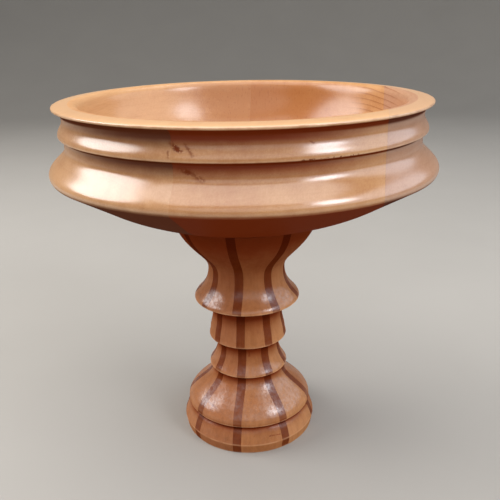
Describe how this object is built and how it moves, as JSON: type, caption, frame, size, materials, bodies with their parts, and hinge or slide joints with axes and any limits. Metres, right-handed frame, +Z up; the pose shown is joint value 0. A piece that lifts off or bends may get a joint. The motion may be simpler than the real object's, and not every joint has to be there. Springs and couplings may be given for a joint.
{
  "type": "turned wooden pedestal bowl",
  "caption": "Turned hardwood fruit bowl with a beaded and coved rim on a tall tiered stem of pale staves with dark inlaid strips, finished in clear gloss lacquer.",
  "frame": {"origin": "middle of the foot's underside, on the surface that the bowl stands on", "axes": "+Z up along the turning axis; -Y towards the side where strip_1 runs down the stem; the bowl's glue lines run along Y"},
  "size_m": [0.2618, 0.2618, 0.2535],
  "materials": {
    "bowl_pale_wood": "clear gloss lacquer over pale honey hardwood",
    "bowl_honey_wood": "clear gloss lacquer over amber hardwood",
    "bowl_pink_wood": "clear gloss lacquer over pinkish tan hardwood",
    "stave_wood": "clear gloss lacquer over orange tan hardwood",
    "strip_wood": "clear gloss lacquer over dark red brown hardwood",
    "dowel_wood": "bare straight-grained hardwood"
  },
  "bodies": {
    "root": {"bowl_board_left": "bowl_pale_wood", "bowl_board_middle": "bowl_honey_wood", "bowl_board_right": "bowl_pink_wood", "stave_1": "stave_wood", "stave_2": "stave_wood", "stave_3": "stave_wood", "stave_4": "stave_wood", "stave_5": "stave_wood", "stave_6": "stave_wood", "stave_7": "stave_wood", "stave_8": "stave_wood", "strip_1": "strip_wood", "strip_2": "strip_wood", "strip_3": "strip_wood", "strip_4": "strip_wood", "strip_5": "strip_wood", "strip_6": "strip_wood", "strip_7": "strip_wood", "strip_8": "strip_wood", "centre_dowel": "dowel_wood"}
  },
  "joints": []
}
